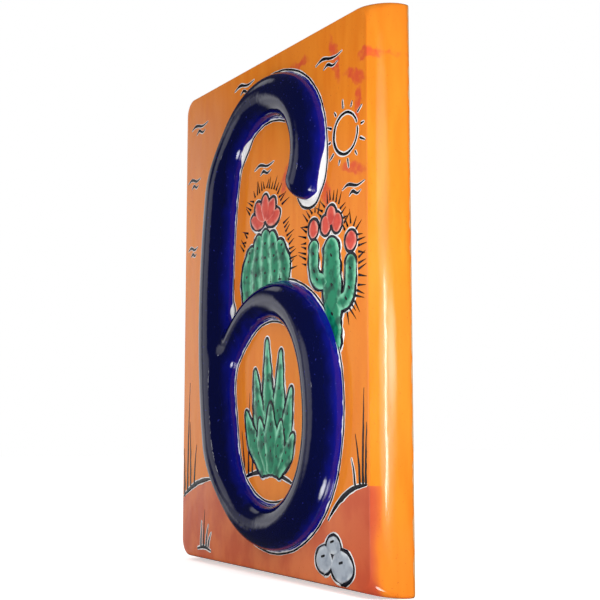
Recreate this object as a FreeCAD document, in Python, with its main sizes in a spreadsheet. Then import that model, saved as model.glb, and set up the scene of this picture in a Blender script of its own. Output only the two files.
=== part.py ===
import FreeCAD, Part
import math
import os

import Sketcher

# A glazed relief tile that carries the house number 6.
#
# The tile is one piece of pressed clay. Its back lies in the XZ plane, against the wall, and its
# face looks along -Y. The origin is the middle of the back, +Z is up and +X is to the right of a
# person who reads the number. All lengths are in millimetres and all angles in degrees.

os.makedirs("parts", exist_ok=True)
doc = FreeCAD.newDocument("house_number_tile")
Vector = FreeCAD.Vector

# Driving dimensions: alias, value, what it is.
SIZES = (
    ("tile_width", 76.5, "width of the tile at its back"),
    ("tile_height", 108.0, "height of the tile at its back"),
    ("tile_thickness", 8.6, "back to flat face, without the numeral"),
    ("edge_inset", 1.3, "how far the flat face stops short of the tile's outline"),
    ("edge_depth", 7.6, "how far the rounded edge runs back from the face"),
    ("back_corner_radius", 0.65, "plan radius of a corner at the back"),
    ("face_corner_radius", 3.3, "plan radius of a corner of the flat face"),
    ("tip_right", 16.7, "start of the stroke, to the right of the tile's middle"),
    ("tip_height", 77.25, "start of the stroke, above the tile's lower edge"),
    ("tip_heading", 58.7, "direction of the stroke at its start, from +X towards +Z"),
    ("tip_length", 3.4, "length of the rounded end beyond the start"),
    ("tip_half_width", 4.5, "half width of the stroke at its start"),
    ("hook_radius", 13.1, "centre line radius at the hook"),
    ("hook_angle", 96.5, "angle that the hook turns through"),
    ("hook_half_width", 4.6, "half width where the hook ends"),
    ("crown_radius", 19.2, "centre line radius over the top of the arch"),
    ("crown_angle", 69.4, "angle that the crown turns through"),
    ("crown_half_width", 4.05, "half width where the crown ends"),
    ("shoulder_radius", 21.6, "centre line radius at the left shoulder"),
    ("shoulder_angle", 35.8, "angle that the shoulder turns through"),
    ("shoulder_half_width", 4.9, "half width where the shoulder ends"),
    ("stem_radius", 151.5, "centre line radius of the bowed stem"),
    ("stem_angle", 20.4, "angle that the stem turns through"),
    ("stem_half_width", 5.25, "half width where the stem ends"),
    ("heel_radius", 21.0, "centre line radius at the lower left"),
    ("heel_angle", 39.5, "angle that the heel turns through"),
    ("heel_half_width", 4.25, "half width where the heel ends"),
    ("base_radius", 19.6, "centre line radius round the foot of the bowl"),
    ("base_angle", 114.7, "angle that the base turns through"),
    ("base_half_width", 4.75, "half width where the base ends"),
    ("flank_radius", 32.2, "centre line radius of the bowl's right side"),
    ("flank_angle", 29.5, "angle that the flank turns through"),
    ("flank_half_width", 5.0, "half width where the flank ends"),
    ("brow_radius", 19.0, "centre line radius over the top of the bowl"),
    ("brow_angle", 107.5, "angle that the brow turns through"),
    ("brow_half_width", 3.25, "half width where the brow ends"),
    ("tuck_radius", 30.0, "centre line radius where the bowl runs into the stem"),
    ("tuck_angle", 35.0, "angle that the tuck turns through"),
    ("tuck_half_width", 3.2, "half width at the buried end"),
    ("relief_share", 0.97, "height of the stroke as a share of its half width"),
    ("foot_wall", 0.3, "upright step at the foot of the stroke"),
    ("root_depth", 1.5, "how far the stroke is rooted in the tile"),
)

sheet = doc.addObject("Spreadsheet::Sheet", "sizes")
for row, (alias, value, note) in enumerate(SIZES, start=1):
    sheet.set(f"A{row}", note)
    sheet.set(f"B{row}", str(value))
    sheet.setAlias(f"B{row}", alias)
doc.recompute()


def size(alias):
    """The value of one driving dimension, read back from the sheet."""
    return float(sheet.get(alias))


def plane_of(body, role):
    """The origin plane of the body that has this role."""
    return next(item for item in body.Origin.OriginFeatures if item.Role == role)


def new_sketch(body, name, role, offset):
    """An empty sketch on an origin plane of the body, moved and turned by offset."""
    sketch = body.newObject("Sketcher::SketchObject", name)
    sketch.AttachmentSupport = (plane_of(body, role), [""])
    sketch.MapMode = "FlatFace"
    sketch.AttachmentOffset = offset
    return sketch


def rule(sketch, kind, *where, name=None, bound=None):
    """Add a constraint, and bind its value to an expression if one is given."""
    value = (float(sheet.evalExpression(bound)),) if bound else ()
    index = sketch.addConstraint(Sketcher.Constraint(kind, *where, *value))
    if bound:
        sketch.renameConstraint(index, name)
        sketch.setExpression(f"Constraints.{name}", bound)


# An outline has four corner arcs, numbered from the lower right, then its four straight sides.
CORNERS = 4


def edge_outline(body, name, inset, depth, corner_share):
    """Rounded rectangle: the tile's outline drawn in by inset, depth behind the flat face."""
    half_w = size("tile_width") / 2 - size("edge_inset") * inset
    half_h = size("tile_height") / 2 - size("edge_inset") * inset
    back = size("back_corner_radius")
    radius = back + (size("face_corner_radius") - back) * corner_share
    sketch = new_sketch(body, name, "XZ_Plane", FreeCAD.Placement())
    sketch.setExpression("AttachmentOffset.Base.z",
                         f"sizes.tile_thickness - sizes.edge_depth * {depth!r}")
    centres = ((half_w - radius, radius - half_h), (half_w - radius, half_h - radius),
               (radius - half_w, half_h - radius), (radius - half_w, radius - half_h))
    for corner, (x, y) in enumerate(centres):
        start = math.radians(90 * corner - 90)
        circle = Part.Circle(Vector(x, y, 0), Vector(0, 0, 1), radius)
        sketch.addGeometry(Part.ArcOfCircle(circle, start, start + math.pi / 2), False)
    for corner in range(CORNERS):
        leaves = sketch.getPoint(corner, 2)
        arrives = sketch.getPoint((corner + 1) % CORNERS, 1)
        sketch.addGeometry(Part.LineSegment(leaves, arrives), False)
    for corner in range(CORNERS):
        line = CORNERS + corner
        rule(sketch, "Tangent", corner, 2, line, 1)
        rule(sketch, "Tangent", line, 2, (corner + 1) % CORNERS, 1)
        rule(sketch, "Vertical" if corner % 2 == 0 else "Horizontal", line)
    for corner in range(1, CORNERS):
        rule(sketch, "Equal", 0, corner)
    rule(sketch, "Symmetric", 0, 3, 2, 3, -1, 1)
    rule(sketch, "DistanceX", 6, 1, 4, 1, name="width",
         bound=f"sizes.tile_width - 2 * sizes.edge_inset * {inset!r}")
    rule(sketch, "DistanceY", 7, 1, 5, 1, name="height",
         bound=f"sizes.tile_height - 2 * sizes.edge_inset * {inset!r}")
    rule(sketch, "Radius", 0, name="corner",
         bound=f"sizes.back_corner_radius * {1 - corner_share!r}"
               f" + sizes.face_corner_radius * {corner_share!r}")
    return sketch


# Where the outlines of the rounded edge lie on their quarter of an ellipse, from back to face.
EDGE_ANGLES = (0, 35, 65, 90)
# Shares worked out here are written into expressions with this many decimals.
DECIMALS = 9


def tile_blank(body):
    """The pressed blank: a thin square-sided back, then an edge that rounds over to the face."""
    outlines = []
    for step, angle in enumerate(EDGE_ANGLES):
        turn = math.radians(angle)
        inset = round(1 - math.cos(turn), DECIMALS)
        depth = round(1 - math.sin(turn), DECIMALS)
        outlines.append(edge_outline(body, f"edge_outline_{step}", inset, depth, inset))
    back = body.newObject("PartDesign::Pad", "back_slab")
    back.Profile = outlines[0]
    back.Reversed = True
    back.setExpression("Length", "sizes.tile_thickness - sizes.edge_depth")
    doc.recompute()
    edge = body.newObject("PartDesign::AdditiveLoft", "rounded_edge")
    edge.Profile = outlines[0]
    edge.Sections = outlines[1:]
    doc.recompute()
    return edge


# The stroke of the numeral is one chain of arcs, each tangent to the one before it.
# Sections stand along it at most this angle and this run apart, and closer in its rounded end.
ARCS = ("hook", "crown", "shoulder", "stem", "heel", "base", "flank", "brow")
MOST_ANGLE = 8.5
MOST_RUN = 9.0
TIP_ANGLES = (80, 68, 56, 44, 30, 15)


def along_arc(start, name, share):
    """Place and heading at a share of one arc that begins at start, which is (x, z, heading)."""
    x, z, heading = start
    radius = size(f"{name}_radius")
    ahead = heading + math.radians(size(f"{name}_angle")) * share
    return (x + radius * (math.sin(ahead) - math.sin(heading)),
            z - radius * (math.cos(ahead) - math.cos(heading)), ahead)


def blend(first, last, share):
    """Half width that eases from the size named first to the size named last."""
    eased = round(share * share * (3 - 2 * share), DECIMALS)
    return f"(sizes.{first} * {1 - eased!r} + sizes.{last} * {eased!r})"


def tip_start():
    """Place and heading of the stroke's start."""
    x = size("tip_right")
    z = size("tip_height") - size("tile_height") / 2
    return x, z, math.radians(size("tip_heading"))


def arc_stations(start, name, before):
    """Stations along one arc, its start left out, each as (place, half width expression)."""
    turn = size(f"{name}_angle")
    run = size(f"{name}_radius") * math.radians(turn)
    steps = max(math.ceil(turn / MOST_ANGLE), math.ceil(run / MOST_RUN))
    for step in range(1, steps + 1):
        share = step / steps
        width = blend(f"{before}_half_width", f"{name}_half_width", share)
        yield along_arc(start, name, share), width


def section(body, name, place, half_width):
    """Closed half-round section, square to the stroke, rooted in the tile below its face."""
    x, z, heading = place
    axes = (Vector(math.sin(heading), 0, -math.cos(heading)), Vector(0, -1, 0),
            Vector(-math.cos(heading), 0, -math.sin(heading)))
    turned = FreeCAD.Rotation(*axes, "ZXY")
    offset = FreeCAD.Placement(Vector(x, -size("tile_thickness"), z), turned)
    sketch = new_sketch(body, name, "XY_Plane", offset)
    half, wall, root = 4.0, size("foot_wall"), size("root_depth")
    foot_left = Vector(-half, wall, 0)
    foot_right = Vector(half, wall, 0)
    crest = Vector(0, half * size("relief_share"), 0)
    sketch.addGeometry(Part.Arc(foot_right, crest, foot_left), False)
    sketch.addGeometry(Part.LineSegment(foot_left, Vector(-half, -root, 0)), False)
    sketch.addGeometry(Part.LineSegment(Vector(-half, -root, 0), Vector(half, -root, 0)), False)
    sketch.addGeometry(Part.LineSegment(Vector(half, -root, 0), foot_right), False)
    sketch.addGeometry(Part.Point(crest), True)
    rule(sketch, "Coincident", 0, 2, 1, 1)
    rule(sketch, "Coincident", 1, 2, 2, 1)
    rule(sketch, "Coincident", 2, 2, 3, 1)
    rule(sketch, "Coincident", 3, 2, 0, 1)
    rule(sketch, "Vertical", 1)
    rule(sketch, "Vertical", 3)
    rule(sketch, "Horizontal", 2)
    rule(sketch, "Symmetric", 0, 1, 0, 2, -2)
    rule(sketch, "PointOnObject", 4, 1, -2)
    rule(sketch, "PointOnObject", 4, 1, 0)
    rule(sketch, "DistanceX", 0, 2, 0, 1, name="width", bound=f"2 * {half_width}")
    rule(sketch, "DistanceY", -1, 1, 4, 1, name="crest", bound=f"sizes.relief_share * {half_width}")
    rule(sketch, "DistanceY", -1, 1, 0, 1, name="wall", bound="sizes.foot_wall")
    rule(sketch, "DistanceY", 3, 1, -1, 1, name="root", bound="sizes.root_depth")
    return sketch


def tip_stations(start):
    """Stations of the rounded end, from its blunt tip back to the stroke's start."""
    x, z, heading = start
    for angle in TIP_ANGLES:
        turn = math.radians(angle)
        back = size("tip_length") * math.sin(turn)
        place = (x - back * math.cos(heading), z - back * math.sin(heading), heading)
        yield place, f"(sizes.tip_half_width * {round(math.cos(turn), DECIMALS)!r})"


def spans(body, name, first, stations):
    """Short straight spans from section to section; returns the last section."""
    sections = [section(body, f"{name}_{step}", place, width)
                for step, (place, width) in enumerate(stations, start=1)]
    if first is None:
        first = sections.pop(0)
    loft = body.newObject("PartDesign::AdditiveLoft", name)
    loft.Profile = first
    loft.Sections = sections
    loft.Ruled = True
    doc.recompute()
    return sections[-1]


def numeral(body):
    """The raised 6: one stroke from its tip round the bowl to its end, buried in the stem."""
    start = tip_start()
    stations = list(tip_stations(start))
    stations.append((start, "sizes.tip_half_width"))
    before = "tip"
    for name in ARCS:
        stations.extend(arc_stations(start, name, before))
        start = along_arc(start, name, 1)
        before = name
    last = spans(body, "stroke", None, stations)
    spans(body, "tuck", last, arc_stations(start, "tuck", before))


tile = doc.addObject("PartDesign::Body", "number_tile")
tile.Label = "number_tile"
tile_blank(tile)
numeral(tile)
doc.recompute()

for item in doc.Objects:
    if "Invalid" in item.State or "Error" in item.State:
        raise RuntimeError(f"{item.Name} did not build: {item.State}")
for node in (tile,):
    if node.Shape.isNull() or not node.Shape.isValid() or len(node.Shape.Solids) != 1:
        raise RuntimeError(f"{node.Label} is not one sound solid")
    node.Shape.exportStep(f"parts/{node.Label}.step")
    box = node.Shape.BoundBox
    print(f"{node.Label}: {box.XLength:.2f} x {box.YLength:.2f} x {box.ZLength:.2f} mm, "
          f"{node.Shape.Volume / 1000:.2f} cm3, {len(node.Shape.Faces)} faces")
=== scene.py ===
# %% [markdown]
# # A glazed relief tile with the house number 6
# The real thing is one piece of pressed clay with a raised numeral. A painter floods the numeral
# with cobalt, the ground with orange and the little desert with green and coral, draws every line
# in black over white, and one firing melts it all to a hard, wet-looking gloss.
# Blender rebuilds it in the frame of the imported solid: metres, +Z up, the back against the wall in
# the plane Y = 0 and the face looking along -Y. Lengths below are millimetres, turned to metres
# where a mesh is made.

# %% Load the imported solid and keep it in place
import math

import bmesh
import bpy
import numpy as np
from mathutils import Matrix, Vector


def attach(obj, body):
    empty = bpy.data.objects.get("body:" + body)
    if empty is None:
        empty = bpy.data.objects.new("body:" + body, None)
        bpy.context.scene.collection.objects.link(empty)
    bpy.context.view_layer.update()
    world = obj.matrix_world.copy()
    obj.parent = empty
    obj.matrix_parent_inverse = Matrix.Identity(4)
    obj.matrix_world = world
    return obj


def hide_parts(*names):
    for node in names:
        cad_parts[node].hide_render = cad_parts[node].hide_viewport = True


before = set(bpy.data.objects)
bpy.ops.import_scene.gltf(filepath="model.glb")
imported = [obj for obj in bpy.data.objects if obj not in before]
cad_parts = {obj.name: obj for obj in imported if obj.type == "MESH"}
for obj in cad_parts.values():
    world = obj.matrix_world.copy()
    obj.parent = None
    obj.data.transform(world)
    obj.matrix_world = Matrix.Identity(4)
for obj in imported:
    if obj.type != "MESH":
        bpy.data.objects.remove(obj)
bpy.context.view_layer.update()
MM = 0.001
# the tile: width and height at its back, and thickness without the numeral
WIDTH, HEIGHT, THICK = 76.5, 108.0, 8.6

# %% [markdown]
# ## Small helpers
# Colours are written as the hex values a painter would pick on a screen, and one function turns
# them to the linear values that a shader needs. One more adds a node, sets it and links it, for
# materials and Geometry Nodes alike. The last two turn points and faces into an object that stands
# at the origin, with its place in its mesh, and clean that mesh: doubles merged, faces outward.


# %% Colour, node and mesh helpers
def linear(code):
    """Linear RGBA from an sRGB hex colour."""
    parts = [int(code[i:i + 2], 16) / 255 for i in (1, 3, 5)]
    return [p / 12.92 if p <= 0.04045 else ((p + 0.055) / 1.055) ** 2.4 for p in parts] + [1.0]


def add(tree, kind, links=None, **settings):
    """Add a node, change its settings, and give its inputs a value, a colour code or a link."""
    node = tree.nodes.new(kind)
    for name, value in settings.items():
        setattr(node, name, value)
    for socket, source in (links or {}).items():
        if isinstance(source, bpy.types.Node):
            source = next(output for output in source.outputs if output.enabled)
        if isinstance(source, bpy.types.NodeSocket):
            tree.links.new(source, node.inputs[socket])
        else:
            is_colour = isinstance(source, str) and source.startswith("#")
            node.inputs[socket].default_value = linear(source) if is_colour else source
    return node


def mesh_object(name, points, faces, edges=()):
    """Object at the origin from points in millimetres."""
    mesh = bpy.data.meshes.new(name)
    mesh.from_pydata([tuple(p) for p in np.asarray(points, float) * MM], list(edges), list(faces))
    mesh.update()
    made = bpy.data.objects.new(name, mesh)
    bpy.context.scene.collection.objects.link(made)
    return made


def tidy(made, merge=0.0005):
    """Merge doubled points, turn all faces outward and shade the mesh smooth."""
    bm = bmesh.new()
    bm.from_mesh(made.data)
    bmesh.ops.remove_doubles(bm, verts=bm.verts, dist=merge * MM)
    bmesh.ops.dissolve_degenerate(bm, edges=bm.edges, dist=merge * MM)
    bmesh.ops.recalc_face_normals(bm, faces=bm.faces)
    for face in bm.faces:
        face.smooth = True
    bm.to_mesh(made.data)
    bm.free()
    print(made.name, len(made.data.vertices), "points", len(made.data.polygons), "faces")


# %% [markdown]
# ## The camera first
# The photograph was taken from the right, about 58 degrees off the front, close to the tile and a
# little below its middle, with the camera tipped up. A camera aimed along a vector and given a
# lens length repeats that, and everything after it can be judged in its picture.

# %% Camera
EYE = Vector((195.16, -121.36, -24.40)) * MM
GAZE = Vector((-0.8434, 0.5247, 0.1154))
camera_data = bpy.data.cameras.new("camera")
camera_data.sensor_width = 36
camera_data.lens = 66.18
camera_data.clip_start = 0.01
camera = bpy.data.objects.new("camera", camera_data)
camera.location = EYE
camera.rotation_euler = GAZE.to_track_quat("-Z", "Y").to_euler()
bpy.context.scene.collection.objects.link(camera)
bpy.context.scene.camera = camera
bpy.context.scene.view_settings.view_transform = "Standard"
print("camera", round(EYE.length / MM), "mm from the middle of the tile's back")

# %% [markdown]
# ## Floor, world and lamps
# Glaze is a mirror for whatever stands round it, so the room is as much a part of its look as the
# colour. Lamps and screens could stand on every side, but the world can hold them for less: an even
# white lights the tile plainly, and only rays that leave the gloss see a dark room instead, with
# pale walls on the left, a screen on the right and a few windows. The camera sees plain white, and
# the floor adds a little light of its own to the camera only, which leaves a pale shadow.

# %% Floor
FLOOR_REACH = 900.0
PAPER, PAPER_GLOW = "#F4F4F4", 0.55
corners = [(x, y, -HEIGHT / 2) for x, y in FLOOR_REACH * np.array(((-1, -1), (1, -1), (1, 1), (-1, 1)))]
floor = mesh_object("floor", corners, [(0, 1, 2, 3)])
floor.visible_glossy = False
paper = bpy.data.materials.new("white_paper")
paper.use_nodes = True
tree = paper.node_tree
tree.nodes.clear()
rays = add(tree, "ShaderNodeLightPath")
matte = add(tree, "ShaderNodeBsdfDiffuse", {"Color": PAPER})
lift = add(tree, "ShaderNodeEmission", {"Strength": PAPER_GLOW})
seen = add(tree, "ShaderNodeMixShader", {0: rays.outputs["Is Camera Ray"], 2: lift})
both = add(tree, "ShaderNodeAddShader", {0: matte, 1: seen})
add(tree, "ShaderNodeOutputMaterial", {"Surface": both})
floor.data.materials.append(paper)
print("floor", 2 * FLOOR_REACH * MM, "m square")

# %% Places in the room
# name, azimuth from the front towards the right, height, angle up to which it is fully lit, angle
# where it ends, and brightness
WALLS = (("far_wall", -92, 4, 27, 32, 0.9), ("wall_between", -57, 4, 6, 13, 0.4),
         ("near_wall", -36, 4, 9, 17, 1.0))
WINDOWS = (("high_window", -78, 36, 3, 10, 0.8), ("side_screen", 106, 2, 1, 9, 3.4),
           ("side_screen_top", 103, 13, 1, 8, 2.0), ("side_window", 111, 4, 0.5, 3.5, 6.0),
           ("small_lamp", -21, 4, 0.5, 1.4, 9.0), ("ground_card", 72, -53, 2, 12, 16.0))
# the walls shine in a band: the height of its middle, half its full height, and where it has faded
WALL_MIDDLE, WALL_HALF, WALL_FADE = 4, 8, 20
EVEN_LIGHT, DARK_ROOM = 0.74, 0.05


def toward(azimuth, height):
    """Unit vector at an azimuth and a height, in degrees."""
    turn, rise = math.radians(azimuth), math.radians(height)
    return Vector((math.sin(turn) * math.cos(rise), -math.cos(turn) * math.cos(rise), math.sin(rise)))


# %% World
world = bpy.data.worlds.new("studio")
bpy.context.scene.world = world
world.use_nodes = True
tree = world.node_tree
tree.nodes.clear()
rays = add(tree, "ShaderNodeLightPath")
direction = add(tree, "ShaderNodeTexCoord").outputs["Generated"]
parts = add(tree, "ShaderNodeSeparateXYZ", {0: direction})
apart = add(tree, "ShaderNodeMath", {0: parts.outputs["Z"], 1: math.sin(math.radians(WALL_MIDDLE))},
            operation="SUBTRACT")
off_middle = add(tree, "ShaderNodeMath", {0: apart}, operation="ABSOLUTE")
band = add(tree, "ShaderNodeMapRange", {"Value": off_middle,
           "From Min": math.sin(math.radians(WALL_HALF)), "From Max": math.sin(math.radians(WALL_FADE)),
           "To Min": 1.0, "To Max": 0.0}, interpolation_type="SMOOTHSTEP")
room = DARK_ROOM
for lit_places, share in ((WALLS, band), (WINDOWS, 1.0)):
    for name, azimuth, height, full, ends, bright in lit_places:
        near = add(tree, "ShaderNodeVectorMath", {0: direction, 1: toward(azimuth, height)},
                   operation="DOT_PRODUCT", label=name)
        glow = add(tree, "ShaderNodeMapRange", {"Value": near,
                   "From Min": math.cos(math.radians(ends)), "From Max": math.cos(math.radians(full)),
                   "To Max": bright}, interpolation_type="SMOOTHSTEP")
        room = add(tree, "ShaderNodeMath", {0: glow, 1: share, 2: room}, operation="MULTIPLY_ADD")
lights = add(tree, "ShaderNodeMix", {0: rays.outputs["Is Glossy Ray"], 2: EVEN_LIGHT, 3: room})
shown = add(tree, "ShaderNodeMix", {0: rays.outputs["Is Camera Ray"], 2: lights, 3: 1.0})
sky = add(tree, "ShaderNodeBackground", {"Color": (1, 1, 1, 1), "Strength": shown})
add(tree, "ShaderNodeOutputWorld", {"Surface": sky})
print(len(WALLS + WINDOWS), "bright places for the gloss to mirror")

# %% Lamps
# The strip is mirrored as the long thin light down the right edge. The two panels are not mirrored:
# they stand close by and brighten the side and the near half of the face.
# name, place, the point it aims at, width, height, watts, whether gloss mirrors it
LAMPS = (("side_strip", (629, 163, 3), (0, 0, 0), 16, 170, 0.17, True),
         ("side_panel", (105, -25, 7), (38, -4, 3), 60, 60, 0.055, False),
         ("front_panel", (32, -64, 5), (20, -9, 0), 60, 60, 0.0075, False))
for name, stands, aims, wide, tall, power, mirrored in LAMPS:
    lamp = bpy.data.lights.new(name, "AREA")
    lamp.shape = "RECTANGLE"
    lamp.size, lamp.size_y = wide * MM, tall * MM
    lamp.energy = power
    stand = bpy.data.objects.new(name, lamp)
    stand.location = Vector(stands) * MM
    stand.rotation_euler = (Vector(stands) - Vector(aims)).to_track_quat("Z", "Y").to_euler()
    stand.visible_camera = False
    stand.visible_glossy = mirrored
    bpy.context.scene.collection.objects.link(stand)
print(len(LAMPS), "lamps")

# %% [markdown]
# ## The tile
# The blank is pressed, so its outline is a rectangle with hardly rounded corners at the back, and
# its edge rolls over to the face in a tall, narrow curve, a little flatter than an ellipse, while
# the corners grow rounder. It could be a cube with a bevel, but a bevel has one radius. Rings of
# points, one for each step of the curve, give the true roll, and the steps crowd where it turns
# fastest.

# %% Outline of the tile at one depth
# how far the roll goes in and back, and its power: 2 would be an ellipse, 1 a straight slope
INSET, DEPTH, POWER = 1.43, 7.6, 1.54
BACK_CORNER, FACE_CORNER = 0.75, 3.5
EDGE_STEPS = (0, 12, 24, 35, 45, 54, 61, 67, 72, 76, 79.5, 82.5, 85, 87, 88.6, 90)
CORNER_STEPS, SIDE_STEPS = 10, 24
# a narrow strip of the flat face keeps the smooth shading of the roll off the rest
FACE_STRIP = 0.6


def ring(inset, depth, radius):
    """Points of a rounded rectangle, seen from the front, at one depth behind the face."""
    half_w, half_h = WIDTH / 2 - inset, HEIGHT / 2 - inset
    middles = ((half_w - radius, radius - half_h), (half_w - radius, half_h - radius),
               (radius - half_w, half_h - radius), (radius - half_w, radius - half_h))
    flat = []
    for corner, (x, z) in enumerate(middles):
        for step in range(CORNER_STEPS + 1):
            turn = math.radians(90 * (corner - 1) + 90 * step / CORNER_STEPS)
            flat.append((x + radius * math.cos(turn), z + radius * math.sin(turn)))
        x1, z1 = flat[-1]
        x2, z2 = middles[(corner + 1) % 4]
        start = math.radians(90 * corner)
        x2, z2 = x2 + radius * math.cos(start), z2 + radius * math.sin(start)
        for step in range(1, SIDE_STEPS):
            share = step / SIDE_STEPS
            flat.append((x1 + (x2 - x1) * share, z1 + (z2 - z1) * share))
    return [(x, depth - THICK, z) for x, z in flat]


# %% Tile body
rings = [ring(0, THICK, BACK_CORNER)]
for angle in EDGE_STEPS:
    turn = math.radians(angle)
    curl = 1 - math.cos(turn) ** (2 / POWER)
    rings.append(ring(INSET * curl, DEPTH * (1 - math.sin(turn) ** (2 / POWER)),
                      BACK_CORNER + (FACE_CORNER - BACK_CORNER) * curl))
rings.append(ring(INSET + FACE_STRIP, 0, FACE_CORNER))
count = len(rings[0])
faces = []
for number in range(len(rings) - 1):
    low, high = number * count, (number + 1) * count
    faces += [(low + i, low + (i + 1) % count, high + (i + 1) % count, high + i) for i in range(count)]
faces.append(tuple(range(count)))
faces.append(tuple((len(rings) - 1) * count + i for i in range(count)))
tile = mesh_object("glazed_tile", [p for one in rings for p in one], faces)
tidy(tile)

# %% [markdown]
# ## The stroke of the numeral
# The 6 is one fat cord of clay: half round, a little flatter than a circle, its width swelling and
# shrinking as it goes. Its centre line is a chain of arcs, each tangent to the last, so position and
# direction follow from the radius and the angle of each arc. The same chain makes the solid part.

# %% Centre line
# X and Z where the stroke starts, and its heading there
START = (16.7, 77.25 - HEIGHT / 2, math.radians(58.7))
TIP_LENGTH, TIP_WIDTH = 3.4, 4.5
# radius, angle that it turns through, half width at its end
ARCS = {"hook": (13.1, 96.5, 4.6), "crown": (19.2, 69.4, 4.05), "shoulder": (21.6, 35.8, 4.9),
        "stem": (151.5, 20.4, 5.25), "heel": (21.0, 39.5, 4.25), "base": (19.6, 114.7, 4.75),
        "flank": (32.2, 29.5, 5.0), "brow": (19.0, 107.5, 3.25), "tuck": (30.0, 35.0, 3.2)}


def walk(spacing):
    """Rows of x, z, heading, half width, and the arc's number, along the whole stroke."""
    x, z, heading = START
    width = TIP_WIDTH
    rows = [(x, z, heading, width, 0)]
    for number, (radius, angle, end_width) in enumerate(ARCS.values()):
        turn = math.radians(angle)
        steps = math.ceil(radius * turn / spacing)
        for step in range(1, steps + 1):
            share = step / steps
            ahead = heading + turn * share
            eased = share * share * (3 - 2 * share)
            rows.append((x + radius * (math.sin(ahead) - math.sin(heading)),
                         z - radius * (math.cos(ahead) - math.cos(heading)), ahead,
                         width + (end_width - width) * eased, number))
        x, z, heading, width = rows[-1][:4]
    return np.array(rows)


print("stroke of", round(sum(radius * math.radians(angle) for radius, angle, _ in ARCS.values())), "mm")

# %% [markdown]
# The foot of the stroke isn't a sharp corner on the real tile, because the glaze runs down and
# pools there. A blend that rounds the lower of two heights into the other gives that small fillet,
# and its exact curve is known, so each section is drawn with it instead of bevelling afterwards.

# %% Section of the stroke
# height as a share of the half width, upright step at the foot, and how deep the stroke is rooted
RELIEF, WALL, ROOT = 0.97, 0.3, 0.6
# reach of the fillet at the foot
FOOT = 0.4
FOOT_STEPS, CREST_STEPS, CAP_STEPS = 6, 14, 40


def half_section(width):
    """Distances from the centre line and heights, from the toe of the foot up to the crest."""
    crest = RELIEF * width
    apart = np.linspace(FOOT, -FOOT, FOOT_STEPS)
    total = (FOOT ** 2 + apart ** 2) / (2 * FOOT)
    out, up = (total + apart) / 2, (total - apart) / 2
    stretch = width / (crest - WALL)
    foot = np.stack([np.sqrt((width + out) ** 2 - (stretch * np.maximum(up - WALL, 0)) ** 2), up], 1)
    low = math.asin((FOOT - WALL) / (crest - WALL))
    turn = np.linspace(low, math.pi / 2, CREST_STEPS + 1)[1:]
    bow = np.stack([width * np.cos(turn), WALL + (crest - WALL) * np.sin(turn)], 1)
    return np.concatenate([foot, bow])


# %% Sweep along the centre line
def sweep(name, rows, round_start):
    """Closed solid of the stroke along these rows, with a rounded first end if asked."""
    points, faces = [], []
    half = FOOT_STEPS + CREST_STEPS
    size = 2 * half + 1
    for x, z, heading, width, _ in rows:
        side = half_section(width)
        right = np.array([math.sin(heading), -math.cos(heading)])
        reach = side[0, 0]
        profile = np.concatenate([side, side[-2::-1] * (-1, 1), [(-reach, -ROOT), (reach, -ROOT)]])
        for across, up in profile:
            points.append((x + right[0] * across, -THICK - up, z + right[1] * across))
    for row in range(len(rows) - 1):
        low, high = row * size, (row + 1) * size
        faces += [(low + i, low + (i + 1) % size, high + (i + 1) % size, high + i) for i in range(size)]
    faces.append(tuple((len(rows) - 1) * size + i for i in range(size)))
    if not round_start:
        faces.append(tuple(range(size)))
        return mesh_object(name, points, faces)
    x, z, heading, width, _ = rows[0]
    side = half_section(width)
    right = np.array([math.sin(heading), -math.cos(heading)])
    ahead = np.array([math.cos(heading), math.sin(heading)])
    crest = half - 1
    columns = [[*range(half - 1), size - 1]]
    for step in range(1, CAP_STEPS):
        turn = math.pi * step / CAP_STEPS
        out = right * math.cos(turn) - ahead * (TIP_LENGTH / TIP_WIDTH) * math.sin(turn)
        column = []
        for across, up in [*side[:-1], (side[0, 0], -ROOT)]:
            column.append(len(points))
            points.append((x + out[0] * across, -THICK - up, z + out[1] * across))
        columns.append(column)
    columns.append([*range(2 * half - 2, half - 1, -1), size - 2])
    for one, two in zip(columns, columns[1:]):
        faces += [(one[i], one[i + 1], two[i + 1], two[i]) for i in range(half - 2)]
        faces.append((one[half - 2], crest, two[half - 2]))
        faces.append((one[0], two[0], two[-1], one[-1]))
    faces.append(tuple(column[-1] for column in columns))
    return mesh_object(name, points, faces)


# %% The stroke in two runs
STROKE_STEP = 0.55
rows = walk(STROKE_STEP)
tuck = list(ARCS).index("tuck")
first_tuck = int(np.argmax(rows[:, 4] == tuck))
numeral = sweep("cobalt_numeral", rows[:first_tuck], True)
tail = sweep("tail", rows[first_tuck - 1:], False)
tidy(numeral)
tidy(tail)

# %% [markdown]
# ## Melting the bowl into the stem
# Where the bowl runs back into the stem the clay was smoothed with a thumb, and the glaze fills
# what is left of the crease. A plain boolean union leaves a knife-sharp valley there. So the union
# only gives the right connections, and then every point near it slides onto a blended surface: a
# field that is zero on the skin of the stroke, rounded where the stem and the bowl are close.

# %% Join the two runs
join = numeral.modifiers.new("join", "BOOLEAN")
join.operation = "UNION"
join.solver = "EXACT"
join.object = tail
graph = bpy.context.evaluated_depsgraph_get()
numeral.data = bpy.data.meshes.new_from_object(numeral.evaluated_get(graph))
numeral.modifiers.clear()
bpy.data.objects.remove(tail)
print("joined", len(numeral.data.vertices), "points")

# %% Field of the blended skin
FINE_STEP = 0.15
fine = walk(FINE_STEP)
names = list(ARCS)
upper = fine[fine[:, 4] <= names.index("heel")]
lower = fine[fine[:, 4] >= names.index("brow")]
# middle X and Z of the valley, how far the blend reaches round it, and its width at most
VALLEY = (-13.8, -8.5)
VALLEY_REACH, VALLEY_BLEND = 15.0, 2.4


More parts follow.
